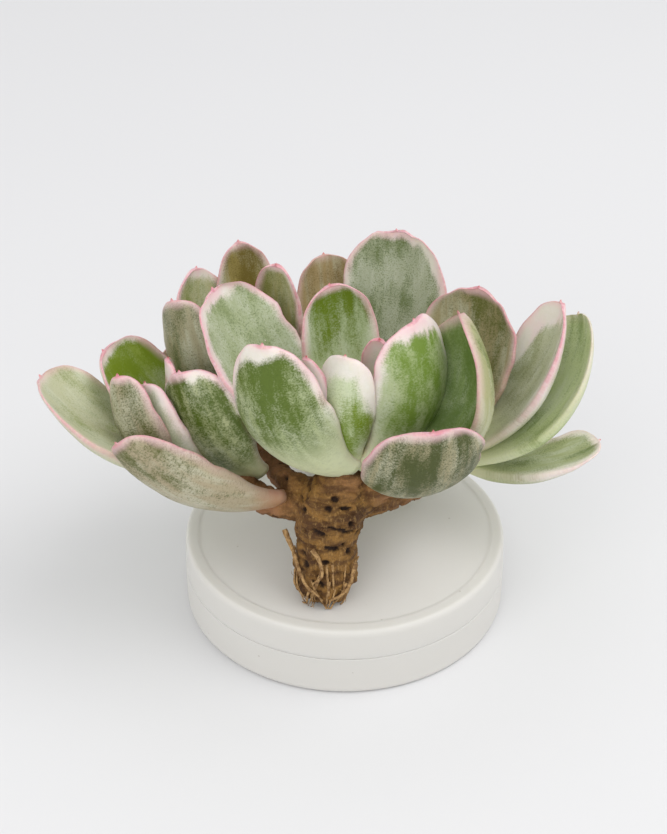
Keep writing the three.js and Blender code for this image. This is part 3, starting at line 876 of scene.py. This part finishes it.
def make_stem(material, rng):
    """The branched stem with ring scars, lumps and pits pressed into its skin."""
    axis = kdtree.KDTree(len(LIMBS) * LIMB_STEPS)
    stations = []
    for number, (line_points, _) in enumerate(LIMBS):
        line = smooth_line(line_points, LIMB_STEPS)
        run = 0.0
        for i, point in enumerate(line):
            run += (point - line[i - 1]).length if i else 0.0
            axis.insert(point, len(stations))
            stations.append((run, number, i / (LIMB_STEPS - 1)))
    axis.balance()
    points, normals, polygons = limb_skin()
    scars = list(SCARS)
    for _ in range(LOOSE_SCARS):
        place = points[rng.randrange(len(points))]
        scars.append((place, rng.uniform(0.5, 1.9), rng.uniform(0.3, 0.55)))
    pits = press_scars(points, scars)

    bark, moved = [], []
    for point, normal, pit in zip(points, normals, pits):
        run, number, share = stations[axis.find(point)[1]]
        young = smooth(0.1, 0.6, share) if number else smooth(0.8, 1.0, share) * 0.5
        beat = ((run + 1.6 * noise.noise(point * 0.3)) / RING_PITCH) % 1.0
        groove = math.exp(-((min(beat, 1 - beat) * RING_PITCH / RING_GROOVE) ** 2))
        groove *= smooth(-0.3, 0.2, noise.noise(point * 0.4))
        lumps = noise.noise(point * 0.33 + Vector((7, 3, 1)))
        old = smooth(26, 17, point.z)
        strands = noise.noise(Vector((point.x * 1.6, point.y * 1.6, point.z * 0.35)))
        fine = noise.noise(point * 1.5)
        height = 0.2 * math.sin(math.pi * beat) - 0.3 * groove + 0.7 * lumps * (1 - 0.7 * young)
        height += (0.12 + 0.5 * old) * strands + 0.1 * fine - 0.75 * pit
        moved_point = point + normal * height
        moved_point.z = max(moved_point.z, STAND_TOP + 0.05)
        moved.append(moved_point)
        # Painted shade for the bark: darker in the ring grooves and in the hollows between the strands of
        # old bark.
        shade = max(groove * 0.7, old * smooth(0.1, 0.4, -strands))
        bark.append((smooth(0.15, 0.8, pit), young, shade))
    new_piece("stem_bark", moved, polygons, material, ["stem"], {"bark": bark})


def make_root(name, radius, points, material, rng, nodes):
    """A wavy dry fibre, thinning towards its free end."""
    line = smooth_line(points, ROOT_STEPS)
    bends = [rng.uniform(0, 2 * math.pi) for _ in range(3)]
    shares = [i / (ROOT_STEPS - 1) for i in range(ROOT_STEPS)]
    for t, point in zip(shares, line):
        bend = Vector([math.sin(pace * t + start) for pace, start in zip((9, 7, 8), bends)])
        point += bend * ROOT_WAVE * t
    radii = [radius * (1.05 - 0.6 * t) * rng.uniform(0.85, 1.15) for t in shares]
    vertices, faces = tube(line, radii, 10)
    new_piece(name, vertices, faces, material, nodes)


def make_root_strands(material, rng):
    """Dry strands that wrap the lower trunk, and fine hairs that stick out of it, as one piece."""
    vertices, faces = [], []
    axis = smooth_line(LIMBS[0][0], LIMB_STEPS)
    radii = limb_radii(LIMBS[0][1], LIMB_STEPS)

    def add(points, thick, around):
        """Adds one strand through the points, kept clear of the lid."""
        steps = 5 * len(points)
        line = smooth_line([(p[0], p[1], max(p[2], STAND_TOP + 0.35)) for p in points], steps)
        more, quads = tube(line, [thick * (1 - 0.6 * i / steps) for i in range(steps)], around)
        faces.extend(tuple(index + len(vertices) for index in face) for face in quads)
        vertices.extend(more)

    for _ in range(WRAPPED_STRANDS):
        turn = rng.uniform(math.pi * 0.8, math.pi * 2.1)
        top = rng.randrange(10, 19)
        drift = rng.uniform(-0.9, 0.9)
        points = []
        for step in range(6):
            k = max(top - 3 * step, 0)
            at = turn + drift * step / 5
            away = radii[k] * rng.uniform(0.98, 1.08) + 0.05
            points.append(axis[k] + Vector((math.cos(at), math.sin(at), 0)) * away)
        add(points, rng.uniform(0.14, 0.3), 7)
    for _ in range(FINE_HAIRS):
        k = rng.randrange(1, 18)
        turn = rng.uniform(math.pi * 0.75, math.pi * 2.2)
        out = Vector((math.cos(turn), math.sin(turn), 0))
        start = axis[k] + out * (radii[k] - 0.2)
        drift = Vector((rng.uniform(-0.6, 0.6), rng.uniform(-0.6, 0.6), rng.uniform(-1.4, 0.5)))
        reach = rng.uniform(0.8, 2.0)
        halfway = start + drift * reach * 0.5 + out * 0.5
        add([start, halfway, start + drift * reach + out * 0.3], rng.uniform(0.05, 0.1), 5)
    new_piece("root_strands", vertices, faces, material)


# ---------- stand ----------

def rounded(profile, radius, steps=5):
    """The profile with each corner rounded by its own share of the radius, where 0 keeps it sharp."""
    out = []
    for i, (point, round_it) in enumerate(profile):
        here = Vector(point)
        if not round_it:
            out.append(here)
            continue
        before = Vector(profile[i - 1][0])
        after = Vector(profile[(i + 1) % len(profile)][0])
        start = here + (before - here).normalized() * min(radius * round_it, (before - here).length * 0.45)
        end = here + (after - here).normalized() * min(radius * round_it, (after - here).length * 0.45)
        for k in range(steps + 1):
            t = k / steps
            out.append((1 - t) ** 2 * start + 2 * t * (1 - t) * here + t * t * end)
    held = [out[0]]
    for here, ahead in zip(out, out[1:]):
        if (ahead - here).length > 4 * HOLD:
            step = (ahead - here).normalized() * HOLD
            held += [here + step, ahead - step]
        held.append(ahead)
    return held


def turned(name, profile, material, node):
    """A round shell from a profile of (radius, height) points that starts and ends on the axis."""
    rows = profile[1:-1]
    vertices = []
    for radius, height in rows:
        for j in range(STAND_SEGMENTS):
            angle = 2 * math.pi * j / STAND_SEGMENTS
            vertices.append((radius * math.cos(angle), radius * math.sin(angle), height))
    vertices += [(0, 0, profile[0][1]), (0, 0, profile[-1][1])]
    new_piece(name, vertices, ring_faces(len(rows), STAND_SEGMENTS), material, [node])


def make_stand(material):
    """The round hollow base with its neck, and the lid that closes over it."""
    neck = LID_RADIUS - STAND_WALL - NECK_PLAY
    top = STAND_TOP - STAND_WALL - NECK_PLAY
    base = rounded([
        ((0, 0), 0), ((STAND_RADIUS, 0), 1),
        ((STAND_RADIUS, SEAM_HEIGHT), 0.15), ((neck, SEAM_HEIGHT), 0.3),
        ((neck, top), 0.4), ((neck - STAND_WALL, top), 0.4),
        ((neck - STAND_WALL, STAND_WALL), 1), ((0, STAND_WALL), 0),
    ], 1.2)
    turned("stand_cup", base, material, "stand_base")
    inside = LID_RADIUS - STAND_WALL
    ceiling = STAND_TOP - STAND_WALL
    bead, bead_top = LID_BEAD_RADIUS, STAND_TOP + LID_BEAD_HEIGHT
    skirt = STAND_RADIUS - 0.05
    foot = SEAM_HEIGHT + SEAM_GAP
    lid = rounded([
        ((0, ceiling), 0), ((inside, ceiling), 0.6),
        ((inside, foot), 0.2), ((skirt, foot), 0.1), ((skirt - 0.2, STAND_TOP), 0.9),
        ((bead + 0.5, bead_top), 0.5), ((bead - 0.2, bead_top), 0.3),
        ((bead - 0.6, STAND_TOP), 0.3), ((0, STAND_TOP), 0),
    ], 1.4)
    turned("stand_cap", lid, material, "stand_lid")


# ---------- studio ----------

def make_floor():
    """The level ground that the stand is on, for the render only."""
    mesh = bpy.data.meshes.new("floor")
    corners = [(x * FLOOR_REACH, y * FLOOR_REACH, 0) for x, y in ((-1, -1), (1, -1), (1, 1), (-1, 1))]
    mesh.from_pydata(corners, [], [(0, 1, 2, 3)])
    mesh.materials.append(floor_material())
    floor = bpy.data.objects.new("floor", mesh)
    bpy.context.scene.collection.objects.link(floor)


def area_light(name, place, power):
    """A round lamp at a place, facing the plant."""
    data = bpy.data.lights.new(name, "AREA")
    data.shape = "DISK"
    data.size = LIGHT_SIZE
    data.energy = power
    lamp = bpy.data.objects.new(name, data)
    lamp.location = place
    lamp.rotation_euler = (Vector(LIGHT_TARGET) - Vector(place)).to_track_quat("-Z", "Y").to_euler()
    bpy.context.scene.collection.objects.link(lamp)


def make_studio():
    """Bright white surroundings, two lamps and the floor."""
    world = bpy.data.worlds.new("studio")
    world.use_nodes = True
    background = world.node_tree.nodes["Background"]
    background.inputs["Color"].default_value = (1.0, 1.0, 1.0, 1.0)
    background.inputs["Strength"].default_value = WORLD_STRENGTH
    bpy.context.scene.world = world
    bpy.context.scene.view_settings.view_transform = "Standard"
    area_light("key", KEY_PLACE, KEY_POWER)
    area_light("fill", FILL_PLACE, FILL_POWER)
    make_floor()


def make_camera():
    data = bpy.data.cameras.new("camera")
    data.lens = CAMERA_LENS
    data.clip_start = 0.01
    camera = bpy.data.objects.new("camera", data)
    camera.location = CAMERA_PLACE
    camera.rotation_euler = (math.radians(90 - CAMERA_DOWN), 0, 0)
    bpy.context.scene.collection.objects.link(camera)
    bpy.context.scene.camera = camera


def build():
    """The whole scene. One row of random numbers runs through it in a fixed order."""
    rng = random.Random(11)
    skin = leaf_material()
    for leaf in LEAVES:
        make_leaf(leaf, skin, rng)
    make_stem(bark_material(), rng)
    fibre = root_material()
    for name, (radius, points) in ROOTS.items():
        make_root(f"fibre_{name}", radius, points, fibre, rng, [name])
    make_root_strands(fibre, rng)
    make_stand(frosted_material())
    make_studio()
    make_camera()


build()
